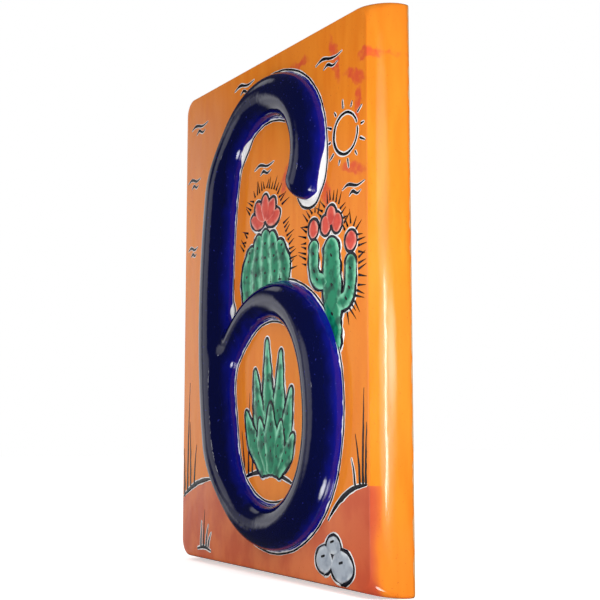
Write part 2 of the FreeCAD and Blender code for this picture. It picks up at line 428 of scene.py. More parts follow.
def height_field(samples, x, z, up):
    """Below zero inside the half-round stroke that follows these samples, zero on its skin."""
    gap = (x[:, None] - samples[None, :, 0]) ** 2 + (z[:, None] - samples[None, :, 1]) ** 2
    near = gap.argmin(1)
    width = samples[near, 3]
    stretch = width / (RELIEF * width - WALL)
    return np.sqrt(gap[np.arange(len(x)), near] + (stretch * np.maximum(up - WALL, 0)) ** 2) - width


def blend(one, two, reach):
    """The lower of two fields, rounded where they differ by less than reach."""
    close = np.maximum(reach - np.abs(one - two), 0)
    return np.minimum(one, two) - close ** 2 / (4 * np.maximum(reach, 1e-6))


def skin(place):
    """Field of stem and bowl together. Place holds rows of x, z and height."""
    x, z, up = place.T
    away = np.hypot(x - VALLEY[0], z - VALLEY[1]) / VALLEY_REACH
    reach = VALLEY_BLEND * np.clip(2 - 2 * away, 0, 1) ** 2
    return blend(height_field(upper, x, z, up), height_field(lower, x, z, up), reach)


# %% Settle the valley
# rounds of sliding, the step that measures a slope, and the height that still counts as the face
ROUNDS, PROBE, LEVEL = 8, 0.02, 0.001


def settle(place):
    """Slide points onto the blended skin. Points at or below the face stay at their height."""
    flat = place[:, 2] <= LEVEL
    for _ in range(ROUNDS):
        def level(at):
            high = blend(skin(at), at[:, 2], np.full(len(at), FOOT))
            return np.where(flat, skin(at * (1, 1, 0)) - FOOT, high)
        here = level(place)
        slope = np.stack([level(place + PROBE * np.eye(3)[axis]) - here for axis in range(3)], 1) / PROBE
        slope[flat, 2] = 0
        place = place - here[:, None] * slope / np.maximum((slope ** 2).sum(1), 0.05)[:, None]
        place[~flat, 2] = np.maximum(place[~flat, 2], 0)
    return place


coordinates = np.empty(len(numeral.data.vertices) * 3, np.float32)
numeral.data.vertices.foreach_get("co", coordinates)
coordinates = coordinates.reshape(-1, 3).astype(float) / MM
place = np.stack([coordinates[:, 0], coordinates[:, 2], -coordinates[:, 1] - THICK], 1)
close = np.hypot(place[:, 0] - VALLEY[0], place[:, 1] - VALLEY[1]) < VALLEY_REACH
place[close] = settle(place[close])
coordinates = np.stack([place[:, 0], -THICK - place[:, 2], place[:, 1]], 1) * MM
numeral.data.vertices.foreach_set("co", coordinates.astype(np.float32).ravel())
numeral.data.update()
tidy(numeral)

# %% [markdown]
# ## The painted outline
# The painter runs a dark line round the numeral and leaves a white rim beside it. On the blank the
# line can't be a texture without blurring, so it is a thin raised ribbon, as real slip is. Its path
# is an offset of the stroke: both sides of the centre line, without the points that fall inside the
# other arm of the 6, and slid onto the blended foot where stem and bowl melt together.

# %% Lines beside the foot of the numeral
MOST_SHIFT = 0.3


def settled(flat, offset):
    """Slide points x, z onto the line that lies offset outside the blended foot."""
    near = np.hypot(flat[:, 0] - VALLEY[0], flat[:, 1] - VALLEY[1]) < VALLEY_REACH
    for _ in range(ROUNDS):
        def level(at):
            return skin(np.column_stack([at, np.zeros(len(at))])) - offset
        here = level(flat)
        slope = np.stack([level(flat + PROBE * np.eye(2)[axis]) - here for axis in range(2)], 1) / PROBE
        shift = here[:, None] * slope / np.maximum((slope ** 2).sum(1), 0.3)[:, None]
        flat = flat - np.where(near[:, None], np.clip(shift, -MOST_SHIFT, MOST_SHIFT), 0)
    return flat


def even_steps(flat, spacing, closed):
    """The same line with its points at even steps."""
    if closed:
        flat = np.concatenate([flat, flat[:1]])
    length = np.concatenate([[0], np.cumsum(np.hypot(*np.diff(flat, axis=0).T))])
    count = max(3, round(length[-1] / spacing))
    at = np.linspace(0, length[-1], count + 1)
    line = np.stack([np.interp(at, length, flat[:, axis]) for axis in range(2)], 1)
    return line[:-1] if closed else line


# %% Loops round the numeral
PATH_STEP, LOOP_STEP = 0.3, 0.45
# how far inside its offset a point may lie and still count as free of the other arm
SLACK = 0.12


def numeral_loops(offset):
    """Outer loop and the loop inside the bowl, as rows of x and z."""
    path = walk(PATH_STEP)
    side = np.stack([np.sin(path[:, 2]), -np.cos(path[:, 2])], 1) * (path[:, 3] + offset)[:, None]
    runs = {}
    for name, line in (("right", path[:, :2] + side), ("left", path[:, :2] - side)):
        free = height_field(fine, line[:, 0], line[:, 1], np.zeros(len(line))) > offset - SLACK
        runs[name] = (line, free)
    right, free = runs["right"]
    outer = right[free]
    left, free = runs["left"]
    middle = int(np.argmax(path[:, 4] >= names.index("stem")))
    covered = middle + int(np.argmin(free[middle:]))
    again = covered + int(np.argmax(free[covered:]))
    x, z, heading, width, _ = path[0]
    across = np.array([math.sin(heading), -math.cos(heading)])
    ahead = np.array([math.cos(heading), math.sin(heading)])
    turns = np.linspace(math.pi, 0, 26)[1:-1]
    tip = np.array([(x, z) + across * (width + offset) * math.cos(turn)
                    - ahead * (TIP_LENGTH + offset) * math.sin(turn) for turn in turns])
    outer = np.concatenate([outer, left[:covered][free[:covered]][::-1], tip])
    inner = left[again:][free[again:]]
    loops = []
    for loop in (outer, inner):
        loop = settled(even_steps(loop, 0.4, True), offset)
        loops.append(even_steps(loop, LOOP_STEP, True))
    return loops


print("loops of", [len(loop) for loop in numeral_loops(0.5)], "points")

# %% Broad white places beside the numeral
# places where the white slip is broad: X, Z above the lower edge, half length, half height, tilt
BARE = ((-8.6, 90.2, 2.4, 4.2, 35), (21.6, 79.8, 2.0, 6.0, 0), (17.0, 73.0, 5.0, 2.4, 0),
        (-13.4, 54.6, 0.45, 1.8, 0))


def bare_share(flat):
    """How much each point lies in one of the broad white places, from 0 to 1."""
    most = np.zeros(len(flat))
    for x, z, long, high, tilt in BARE:
        gap, turn = flat - (x, z - HEIGHT / 2), math.radians(tilt)
        along = (gap[:, 0] * math.cos(turn) - gap[:, 1] * math.sin(turn)) / long
        upward = (gap[:, 0] * math.sin(turn) + gap[:, 1] * math.cos(turn)) / high
        most = np.maximum(most, np.clip(1.5 - 1.1 * np.hypot(along, upward), 0, 1))
    return most


def pushed_out(loop, sign, amount):
    """Loop moved away from the stroke where the white slip is broad."""
    ahead = np.roll(loop, -3, 0) - np.roll(loop, 3, 0)
    ahead /= np.hypot(*ahead.T)[:, None]
    outward = np.stack([ahead[:, 1], -ahead[:, 0]], 1) * sign
    return loop + outward * amount * bare_share(loop)[:, None]


print(len(BARE), "broad places")

# %% [markdown]
# ## One brush for all the painting
# Every line, leaf and pebble is a brush stroke: a path that carries its own half width. The painting
# could be a mesh for each shape, but the shapes share one rule, so one Geometry Nodes tree makes
# them all. It lets the width and the path waver as a hand does, sweeps a flat lens along the path,
# keeps the place across the stroke as an attribute for the colour, and lays the result on the face.

# %% Start and end of a tree
def node_tree(name, inputs):
    """Empty Geometry Nodes tree with these named inputs, and the sockets that hold them."""
    tree = bpy.data.node_groups.new(name, "GeometryNodeTree")
    tree.interface.new_socket("Geometry", in_out="OUTPUT", socket_type="NodeSocketGeometry")
    tree.interface.new_socket("Geometry", in_out="INPUT", socket_type="NodeSocketGeometry")
    for label, kind in inputs:
        tree.interface.new_socket(label, in_out="INPUT", socket_type="NodeSocket" + kind)
    return tree, add(tree, "NodeGroupInput").outputs


def lay_on_face(tree, given, shape):
    """Turn a drawing in x and y, in millimetres, onto the face of the tile, and end the tree."""
    laid = add(tree, "GeometryNodeTransform", {"Geometry": shape, "Translation": (0, -THICK * MM, 0),
               "Rotation": (math.pi / 2, 0, 0), "Scale": (MM, MM, MM)})
    smooth = add(tree, "GeometryNodeSetShadeSmooth", {"Geometry": laid})
    real = add(tree, "GeometryNodeRealizeInstances", {"Geometry": smooth})
    last = add(tree, "GeometryNodeSetMaterial", {"Geometry": real, "Material": given["Material"]})
    add(tree, "NodeGroupOutput", {"Geometry": last})


# %% Brush stroke tree: the path and its width waver
brush, given = node_tree("brush_stroke", (("Waver", "Float"), ("Wander", "Float"),
                         ("Waver Size", "Float"), ("Depth", "Float"), ("Seed", "Float"),
                         ("Material", "Material")))
place = add(brush, "GeometryNodeInputPosition")
finer = add(brush, "ShaderNodeMath", {0: 1.0, 1: given["Waver Size"]}, operation="DIVIDE")
noise = add(brush, "ShaderNodeTexNoise", {"Vector": place, "W": given["Seed"],
            "Scale": finer, "Detail": 2.0}, noise_dimensions="4D")
swing = add(brush, "ShaderNodeMapRange", {"Vector": noise.outputs["Color"], 7: (0.3, 0.3, 0.3),
            8: (0.7, 0.7, 0.7), 9: (-1, -1, 0), 10: (1, 1, 0)}, data_type="FLOAT_VECTOR")
drift = add(brush, "ShaderNodeVectorMath", {0: swing.outputs["Vector"], "Scale": given["Wander"]},
            operation="SCALE")
flat_drift = add(brush, "ShaderNodeVectorMath", {0: drift, 1: (1, 1, 0)}, operation="MULTIPLY")
half = add(brush, "GeometryNodeInputNamedAttribute", {"Name": "half_width"}, data_type="FLOAT")
press = add(brush, "ShaderNodeMapRange", {"Value": noise.outputs["Fac"], "From Min": 0.3, "From Max": 0.7,
            "To Min": -1.0, "To Max": 1.0})
pressed = add(brush, "ShaderNodeMath", {0: press, 1: given["Waver"], 2: 1.0}, operation="MULTIPLY_ADD")
width = add(brush, "ShaderNodeMath", {0: half, 1: pressed}, operation="MULTIPLY")
kept = add(brush, "GeometryNodeStoreNamedAttribute", {"Geometry": given["Geometry"],
           "Name": "half_width", "Value": width}, data_type="FLOAT", domain="POINT")
moved = add(brush, "GeometryNodeSetPosition", {"Geometry": kept, "Offset": flat_drift})

# %% Brush stroke tree: a flat lens swept along the path
path = add(brush, "GeometryNodeMeshToCurve", {"Mesh": moved})
upright = add(brush, "GeometryNodeSetCurveNormal", {"Curve": path}, mode="Z_UP")
lens = add(brush, "GeometryNodeCurvePrimitiveCircle", {"Resolution": 12, "Radius": 1.0})
split = add(brush, "ShaderNodeSeparateXYZ", {0: place})
profile = lens
for label, axis in (("across", "X"), ("over", "Y")):
    profile = add(brush, "GeometryNodeStoreNamedAttribute", {"Geometry": profile, "Name": label,
                  "Value": split.outputs[axis]}, data_type="FLOAT", domain="POINT")
size = add(brush, "GeometryNodeInputNamedAttribute", {"Name": "half_width"}, data_type="FLOAT")
swept = add(brush, "GeometryNodeCurveToMesh", {"Curve": upright, "Profile Curve": profile,
            "Scale": size, "Fill Caps": True})

# %% Brush stroke tree: domed on top, level below
read = {label: add(brush, "GeometryNodeInputNamedAttribute", {"Name": label}, data_type="FLOAT")
        for label in ("across", "over", "lift", "dome")}
square = add(brush, "ShaderNodeMath", {0: read["across"], 1: read["across"]}, operation="MULTIPLY")
bow = add(brush, "ShaderNodeMath", {0: 1.0, 1: square}, operation="SUBTRACT")
top = add(brush, "ShaderNodeMath", {0: bow, 1: read["dome"], 2: read["lift"]}, operation="MULTIPLY_ADD")
under = add(brush, "ShaderNodeMath", {0: read["over"], 1: -0.01}, operation="LESS_THAN")
below = add(brush, "ShaderNodeMath", {0: given["Depth"], 1: -1.0}, operation="MULTIPLY")
high = add(brush, "ShaderNodeMix", {0: under, 2: top, 3: below})
spot = add(brush, "ShaderNodeSeparateXYZ", {0: place})
there = add(brush, "ShaderNodeCombineXYZ", {"X": spot.outputs["X"], "Y": spot.outputs["Y"], "Z": high})
shaped = add(brush, "GeometryNodeSetPosition", {"Geometry": swept, "Position": there})
lay_on_face(brush, given, shaped)
print("brush tree with", len(brush.nodes), "nodes")


# %% Run a tree on an object
def grow(made, tree, material, **inputs):
    """Give the object this tree with its inputs by name, and keep the result as a plain mesh."""
    modifier = made.modifiers.new("grow", "NODES")
    modifier.node_group = tree
    sockets = {item.name: item.identifier for item in tree.interface.items_tree
               if item.item_type == "SOCKET" and item.in_out == "INPUT"}
    for name, value in {**inputs, "Material": material}.items():
        modifier[sockets[name.replace("_", " ").title()]] = value
    graph = bpy.context.evaluated_depsgraph_get()
    mesh = bpy.data.meshes.new_from_object(made.evaluated_get(graph), preserve_all_data_layers=True,
                                           depsgraph=graph)
    made.modifiers.clear()
    made.data = mesh
    tidy(made, 0.0002)


# %% [markdown]
# ## Drawing with strokes
# A stroke is a few points to go through and the half width at each. A smooth curve through the
# points, evenly stepped, and ends that round off or run out to a tip, make a leaf, a stem, a pebble
# or a hair line from the same function. A shape of enamel is always three strokes on one path: a
# white halo, the dark line, and the colour, each a little narrower and higher than the one before.

# %% Stroke maker
layers = {"white": [], "slate": [], "green": [], "coral": [], "grey": []}
# points on each span of a curve, the step along a stroke, and the least gap between two points
SPAN_POINTS, INK_STEP, LEAST_GAP = 24, 0.45, 0.004
# strokes of one paint step up by this, in turn, so that no two lie exactly in one plane
RISE, RISES = 0.0012, 6
THINNEST = 0.02
# where the round ends start, in degrees, and their points
END_FROM, END_POINTS = 8, 9


def stroke(paint, path, widths, lift=0.0, dome=0.01, ends=None, grown=0.0):
    """Add one stroke. Path: X from the middle and Z above the lower edge, in millimetres."""
    path = np.array(path, float)
    widths = np.broadcast_to(np.array(widths, float), len(path))
    padded = np.concatenate([2 * path[:1] - path[1:2], path, 2 * path[-1:] - path[-2:-1]])
    line, share = [], []
    for index in range(len(path) - 1):
        a, b, c, d = padded[index:index + 4]
        for t in np.linspace(0, 1, SPAN_POINTS, endpoint=False):
            line.append(0.5 * (2 * b + (c - a) * t + (2 * a - 5 * b + 4 * c - d) * t ** 2
                               + (3 * b - a - 3 * c + d) * t ** 3))
            share.append(index + t)
    line, share = np.array(line + [path[-1]]), np.array(share + [len(path) - 1])
    if grown:
        first, last = line[0] - line[1], line[-1] - line[-2]
        line = np.concatenate([[line[0] + first / np.hypot(*first) * grown], line,
                               [line[-1] + last / np.hypot(*last) * grown]])
        share = np.concatenate([share[:1], share, share[-1:]])
    length = np.concatenate([[0], np.cumsum(np.hypot(*np.diff(line, axis=0).T))])
    total = length[-1]
    half = np.interp(share, range(len(path)), widths) + grown
    caps = (half[0], half[-1]) if ends is None else (ends + grown,) * 2
    caps = [min(cap, total / 2) for cap in caps]
    swing = 1 - np.cos(np.linspace(math.radians(END_FROM), math.pi / 2, END_POINTS))
    inside = max(2, math.ceil((total - sum(caps)) / INK_STEP))
    at = np.concatenate([caps[0] * swing, np.linspace(caps[0], total - caps[1], inside + 1)[1:-1],
                         total - caps[1] * swing[::-1]])
    at = at[np.concatenate([[True], np.diff(at) > LEAST_GAP])]
    width = np.interp(at, length, half)
    for cap, gap in ((caps[0], at), (caps[1], total - at)):
        width = width * np.sqrt(1 - (1 - np.minimum(gap / cap, 1)) ** 2)
    x, z = (np.interp(at, length, line[:, axis]) for axis in range(2))
    lift += RISE * (len(layers[paint]) % RISES)
    layers[paint].append((np.column_stack([x, z - HEIGHT / 2]), np.maximum(width, THINNEST), lift, dome,
                          False))


def hair(path, widths=0.2, lift=0.02, halo=0.2):
    """A dark line with a faint white halo beside it."""
    if halo:
        stroke("white", path, np.array(widths) + halo, 0.008, 0.003, ends=0.5)
    stroke("slate", path, widths, lift, 0.012, ends=0.4)


# ends as long as this round a stroke from its very middle, like an egg
WHOLE = 99
# how far the white halo, the dark line and the colour of a patch reach past its half widths
HALO, LINE, COLOUR = 0.86, 0.62, 0.06


def shape(paint, path, widths, lift=0.0, ends=None):
    """A patch of enamel with its dark line and white halo."""
    stroke("white", path, widths, 0.008, 0.003, ends, HALO)
    stroke("slate", path, widths, 0.02 + lift, 0.004, ends, LINE)
    stroke(paint, path, widths, 0.03 + lift, 0.045, ends, COLOUR)


print("paints:", ", ".join(layers))

# %% Numeral outline
# offset, paint, half width, more of it in the broad places, how far out it goes there, lift, dome
OUTLINES = ((0.5, "white", 0.36, 0.5, 0.45, 0.034, 0.004), (0.56, "slate", 0.2, 0.1, 0.9, 0.044, 0.02))
for offset, paint, half, more, out, lift, dome in OUTLINES:
    for loop, sign in zip(numeral_loops(offset), (1, -1)):
        widths = half + more * bare_share(loop)
        layers[paint].append((pushed_out(loop, sign, out), widths, lift, dome, True))
print(len(OUTLINES), "lines round each of", len(numeral_loops(0.5)), "loops")

# %% [markdown]
# ## A little desert
# The ground of the tile carries a painted desert: dunes along the foot, two cacti, an agave inside
# the bowl, a sun, thin clouds and dry reeds. All of it is traditional stock for such tiles, drawn
# here from scratch as strokes, so each plant is a short table of points. What stands behind the
# numeral simply runs under it, as it does when a painter starts from the raised figure.

# %% Dunes
# middle X and Z, half length, half height, and the stretch of X where the crest line is drawn
DUNES = ((-22.0, -5.0, 25.0, 23.5, -36.6, -23.0), (37.0, -3.0, 18.5, 22.8, 23.6, 36.2),
         (1.0, 5.0, 21.0, 15.8, -10.0, 13.0))
for x, z, long, high, start, stop in DUNES:
    crest = [(at, z + high * math.sqrt(1 - ((at - x) / long) ** 2)) for at in np.linspace(start, stop, 9)]
    hair(crest, [0.16, 0.3, 0.42, 0.5, 0.5, 0.48, 0.4, 0.3, 0.14])
print(len(DUNES), "dunes")

# %% Agave inside the bowl
# the rosette's foot, then X and Z of each leaf's tip and its half width
AGAVE_X, AGAVE_Z = 3.2, 20.6
AGAVE = ((1.2, 47.5, 2.3), (6.8, 45.0, 2.2), (-3.6, 41.5, 2.3), (10.8, 37.5, 2.2), (-7.2, 33.0, 2.2),
         (11.6, 28.5, 2.0), (-1.5, 31.5, 2.5), (7.0, 31.0, 2.5), (2.8, 34.5, 2.7))
for number, (x, z, half) in enumerate(AGAVE):
    lean = x - AGAVE_X
    foot = (AGAVE_X + 0.22 * lean, AGAVE_Z)
    belly = (AGAVE_X + 0.72 * lean, AGAVE_Z + 0.52 * (z - AGAVE_Z))
    shape("green", [foot, belly, (x, z)], [half * 0.7, half, 0.35], 0.014 * number, ends=0.7)
    for share in (0.3, 0.5, 0.68):
        spot = (foot[0] + (x - foot[0]) * share + 0.05 * lean, foot[1] + (z - foot[1]) * share)
        stroke("slate", [spot, (spot[0] + 0.25, spot[1] + 0.6)], 0.2, 0.085 + 0.014 * number, 0.003)
print(len(AGAVE), "leaves")

# %% Barrel cactus behind the brow
# X of its middle, the pace of its ribs at the belly, and how high the belly is
BARREL_X, RIB_PACE, BELLY = 0.4, 3.85, 61.5
for rib in (-2, 2, -1, 1, 0):
    rise = 0.012 * (2 - abs(rib))
    path = [(BARREL_X + 3.5 * rib, 53), (BARREL_X + RIB_PACE * rib, BELLY),
            (BARREL_X + 2.5 * rib, 70.2 - 0.75 * rib ** 2)]
    shape("green", path, [1.75, 2.05, 1.5], rise, ends=1.7)
    for z in (61.2, 64.4, 67.4 - 0.6 * abs(rib)):
        x = BARREL_X + RIB_PACE * rib * (1 - 0.25 * max(z - BELLY, 0) / 8)
        stroke("slate", [(x - 0.35, z), (x + 0.35, z + 0.2)], 0.27, 0.088 + rise, 0.003)
PETALS = (-74, 74, -38, 38, 0)
for number, angle in enumerate(PETALS):
    turn = math.radians(angle)
    middle = np.array((BARREL_X, 71.6))
    out = np.array((math.sin(turn), math.cos(turn)))
    shape("coral", [middle + out * 0.6, middle + out * 3.4, middle + out * 6.0], [1.3, 1.75, 1.4],
          0.03 + 0.012 * number, ends=2.6)
print(len(PETALS), "petals")

# %% Armed cactus behind the shoulder of the bowl
STEM = ([(25.4, 43), (25.2, 54), (25.0, 65.0)], [2.6, 2.8, 2.5])
ARMS = (([(26.6, 52.4), (29.8, 53.0), (31.2, 55.6), (31.4, 61.0)], [1.3, 1.5, 1.6, 1.5]),
        ([(23.4, 56.8), (20.2, 57.6), (18.9, 60.0), (18.9, 65.2)], [1.2, 1.4, 1.5, 1.4]))
FRUIT = ((23.1, 67.7, 1.45), (26.9, 67.7, 1.45), (25.0, 69.3, 1.6), (31.5, 63.6, 1.6), (18.9, 67.6, 1.6))
for path, widths in (STEM, *ARMS):
    shape("green", path, widths, 0.012 if path is STEM[0] else 0.0)
    for share in (0.35, 0.6, 0.85):
        at = share * (len(path) - 1)
        spot = np.array([np.interp(at, range(len(path)), axis) for axis in zip(*path)])
        stroke("slate", [spot + (-0.3, 0.3), spot + (0.3, -0.3)], 0.24, 0.1, 0.003)
for x, z, half in FRUIT:
    shape("coral", [(x, z - 1.7), (x, z + 1.7)], half, 0.03, ends=WHOLE)
print(len(ARMS), "arms and", len(FRUIT), "fruit")

# %% Sun and clouds
# X, Z and radius of the sun, and where its short and long rays end
SUN_X, SUN_Z, SUN_RADIUS, RAYS_FROM, RAY_ENDS = 29.9, 84.0, 3.9, 4.9, (6.2, 6.9)
disc = [(SUN_X + SUN_RADIUS * math.cos(turn), SUN_Z + SUN_RADIUS * math.sin(turn))
        for turn in np.linspace(0.3, 6.45, 24)]
hair(disc, np.interp(range(24), (0, 12, 23), (0.2, 0.34, 0.2)), halo=0.24)
for spoke in range(12):
    turn = math.radians(30 * spoke + 8)
    out = np.array((math.cos(turn), math.sin(turn)))
    centre = np.array((SUN_X, SUN_Z))
    hair([centre + out * RAYS_FROM, centre + out * RAY_ENDS[spoke % 2]], [0.26, 0.12], halo=0.16)
# left end and length
CLOUDS = ((19.5, 99.6, 9.5), (-34.5, 99.2, 8.5), (-36.0, 86.6, 6.5), (-4.5, 83.6, 8.5),
          (-35.6, 70.5, 5.0), (-13.5, 103.2, 9.0), (28.6, 73.4, 7.5))
for x, z, long in CLOUDS:
    for part, start, low in ((1.0, 0.0, 0.0), (0.55, 0.3, -1.5)):
        wave = [(x + long * (start + part * share), z + low + rise) for share, rise in
                ((0, 0), (0.3, 0.75), (0.66, 0.1), (1, 0.6))]
        hair(wave, [0.07, 0.34, 0.26, 0.07], halo=0.12)
print(len(CLOUDS), "clouds")

# %% Reeds and pebbles
# foot, height and lean; the tall ones have no halo
REEDS = ((-34.6, 15, 25, 0.8), (-33.0, 16, 15, -0.6), (-36.0, 14, 11, -0.4), (-31.2, 17, 9, 1.0),
         (-7.9, 19, 10, -1.2), (-6.2, 20, 17, 0.4), (-4.6, 20.4, 11, 1.0), (-9.2, 17.6, 7, -0.8),
         (33.9, 19.6, 9, -1.4), (34.8, 19.8, 17, 0.5), (35.7, 19.8, 11, 0.3), (32.4, 19.4, 5, -1.2),
         (-27.6, 3.4, 6, 0.3), (-26.4, 3.2, 8.6, 0.6), (-25.2, 3.4, 5.4, 1.2), (-24.2, 3.6, 3.6, 1.6))
TALL = 6
for x, z, tall, lean in REEDS:
    hair([(x, z), (x + 0.3 * lean, z + 0.5 * tall), (x + lean, z + tall)], [0.36, 0.26, 0.07],
         halo=0 if tall > TALL else 0.2)
hair([(-29.4, 3.1), (-26, 3.6), (-22.6, 3.0)], [0.2, 0.34, 0.16], halo=0.22)
# middle, half length, half height and lift; the two in front lie over the third
PEBBLES = ((22.4, 5.6, 2.6, 2.4, 0.012), (28.2, 4.9, 3.4, 2.8, 0.012), (25.4, 8.4, 2.2, 1.7, 0))
for x, z, long, half, rise in PEBBLES:
    shape("grey", [(x - long, z - 0.4), (x, z), (x + long, z - 0.3)], [half * 0.9, half, half * 0.8],
          rise, ends=WHOLE)
    stroke("slate", [(x - 1.0, z + 0.5), (x + 0.3, z + 0.9)], 0.24, 0.1, 0.003)
print({paint: len(strokes) for paint, strokes in layers.items()}, "strokes")

# %% [markdown]
# ## Spines
# Spines stand round the cacti like the teeth of a comb along a bent line: the same hair, again and
# again, at a steady pace, with a random length and tilt. Instances on a path do exactly that. The
# hairs are cones pressed flat, since they are paint.

# %% Spine tree
comb, given = node_tree("spine_comb", (("Pace", "Float"), ("Shortest", "Float"), ("Longest", "Float"),
                        ("Tilt", "Float"), ("Thickness", "Float"), ("Lift", "Float"), ("Seed", "Int"),
                        ("Material", "Material")))
path = add(comb, "GeometryNodeMeshToCurve", {"Mesh": given["Geometry"]})
posts = add(comb, "GeometryNodeCurveToPoints", {"Curve": path, "Length": given["Pace"]}, mode="LENGTH")
outward = add(comb, "ShaderNodeVectorMath", {0: posts.outputs["Tangent"], 1: (0, 0, 1)},
              operation="CROSS_PRODUCT")
less = add(comb, "ShaderNodeMath", {0: given["Tilt"], 1: -1.0}, operation="MULTIPLY")
tilt = add(comb, "FunctionNodeRandomValue", {2: less, 3: given["Tilt"], "Seed": given["Seed"]},
           data_type="FLOAT")
later = add(comb, "ShaderNodeMath", {0: given["Seed"], 1: 7.0})
long = add(comb, "FunctionNodeRandomValue", {2: given["Shortest"], 3: given["Longest"],
           "Seed": later}, data_type="FLOAT")
sideways = add(comb, "ShaderNodeVectorMath", {0: posts.outputs["Tangent"], "Scale": tilt},
               operation="SCALE")
aim = add(comb, "ShaderNodeVectorMath", {0: outward, 1: sideways}, operation="ADD")
turned = add(comb, "FunctionNodeAlignRotationToVector", {"Vector": aim}, axis="Z")
stretched = add(comb, "ShaderNodeCombineXYZ", {"X": given["Thickness"], "Y": given["Thickness"],
                "Z": long})
spine = add(comb, "GeometryNodeMeshCone", {"Vertices": 6, "Side Segments": 2, "Radius Top": 0.15,
            "Radius Bottom": 1.0, "Depth": 1.0})
many = add(comb, "GeometryNodeInstanceOnPoints", {"Points": posts.outputs["Points"],
           "Instance": spine.outputs["Mesh"], "Rotation": turned, "Scale": stretched})
single = add(comb, "GeometryNodeRealizeInstances", {"Geometry": many})
place = add(comb, "GeometryNodeInputPosition")
spot = add(comb, "ShaderNodeSeparateXYZ", {0: place})
press = add(comb, "ShaderNodeMath", {0: spot.outputs["Z"], 1: 0.3, 2: given["Lift"]},
            operation="MULTIPLY_ADD")
there = add(comb, "ShaderNodeCombineXYZ", {"X": spot.outputs["X"], "Y": spot.outputs["Y"], "Z": press})
pressed_flat = add(comb, "GeometryNodeSetPosition", {"Geometry": single, "Position": there})
lay_on_face(comb, given, pressed_flat)
print("spine tree with", len(comb.nodes), "nodes")

# %% Combs round the cacti
# from right to left over the top, so that the hairs point outward
COMBS = ([(10.2, 61), (9.8, 66), (7.6, 70.6)],
         [(7.0, 74.6), (4.6, 78.0), (0.4, 79.2), (-3.8, 78.0), (-6.2, 74.6)],
         [(-6.8, 70.6), (-8.6, 67.0)],
         [(33.9, 57.0), (33.9, 62.0), (33.1, 65.6), (31.5, 66.8), (29.6, 65.8)],
         [(29.3, 67.2), (27.6, 71.0), (25.0, 72.4), (22.4, 71.0), (21.6, 69.6)],
         [(20.4, 70.4), (18.9, 71.0), (16.8, 69.6), (16.2, 66.0), (16.2, 61.0)],
         [(30.2, 50.6), (32.6, 52.4), (33.7, 55.2)])
print(len(COMBS), "combs")

# %% [markdown]
# ## Glazes and clay
# Everything here is glaze that melted in one firing, so every finish has the same smooth gloss: an
# index of refraction of 1.5, roughness below 0.15, and a faint ripple where the melt stopped moving.
# Only the colour inside differs. It could come from painted pictures, but noise and ovals on Object
# coordinates, in millimetres, laid over each other in coats, give the streaks of the brush and the
# places where the glaze ran thin, and stay sharp however close the camera comes.

# %% Start and end of a material
CERAMIC_IOR = 1.5


def glaze(name):
    """New material, its tree, and object coordinates in millimetres."""
    finish = bpy.data.materials.new(name)
    finish.use_nodes = True
    tree = finish.node_tree
    tree.nodes.clear()
    place = add(tree, "ShaderNodeTexCoord")
    mm = add(tree, "ShaderNodeVectorMath", {0: place.outputs["Object"], "Scale": 1 / MM},
             operation="SCALE")
    return finish, tree, mm


def surface(tree, colour, roughness, ripple, depth):
    """End a material with its colour, its roughness, and a ripple of this depth in millimetres."""
    bump = add(tree, "ShaderNodeBump", {"Height": ripple, "Distance": depth * MM})
    shader = add(tree, "ShaderNodeBsdfPrincipled", {"Base Color": colour, "Roughness": roughness,
                 "IOR": CERAMIC_IOR, "Normal": bump})
    add(tree, "ShaderNodeOutputMaterial", {"Surface": shader})
    print("finish with", len(tree.nodes), "nodes")


# %% Patterns and coats
def grain(tree, mm, size, detail=2.0, stretch=(1, 1, 1), shift=(0, 0, 0)):
    """Noise with lumps of this size in millimetres, longer along the axes with more stretch."""
    fitted = add(tree, "ShaderNodeMapping", {"Vector": mm, "Location": shift,
                 "Scale": [1 / (size * axis) for axis in stretch]})
    return add(tree, "ShaderNodeTexNoise", {"Vector": fitted, "Scale": 1.0, "Detail": detail})


def spots(tree, mm, ovals, full, ends):
    """Being inside any of these ovals: 1 up to this share of its size, full, and 0 from ends on."""
    most = 0.0
    for x, z, half_long, half_high, tilt in ovals:
        fitted = add(tree, "ShaderNodeMapping", {"Vector": mm, "Location": (x, 0, z - HEIGHT / 2),
                     "Rotation": (0, math.radians(tilt), 0), "Scale": (half_long, 1000, half_high)},
                     vector_type="TEXTURE")
        out = add(tree, "ShaderNodeVectorMath", {0: fitted}, operation="LENGTH")
        inside = add(tree, "ShaderNodeMapRange", {"Value": out, "From Min": full, "From Max": ends,
                     "To Min": 1.0, "To Max": 0.0}, interpolation_type="SMOOTHSTEP")
        most = add(tree, "ShaderNodeMath", {0: most, 1: inside}, operation="MAXIMUM")
    return most


def coats(tree, colour, layers):
    """Colours laid over the first. Each layer: a pattern, the values where it starts and where it is
    full, its strength there and there, and its colour."""
    for pattern, starts, full, least, most, paint in layers:
        share = add(tree, "ShaderNodeMapRange", {"Value": pattern, "From Min": starts, "From Max": full,
                    "To Min": least, "To Max": most}, interpolation_type="SMOOTHSTEP")
        colour = add(tree, "ShaderNodeMix", {0: share, 6: colour, 7: paint}, data_type="RGBA")
    return colour


# %% [markdown]
# ### Orange ground
# A brushed iron orange over buff clay. The brush went up and down, so the tone streaks upright; a
# second, redder orange fills the dunes and was dabbed on here and there as coral smears. At the back
# arris the glaze was wiped off, and the clay shows in a thin uneven line.

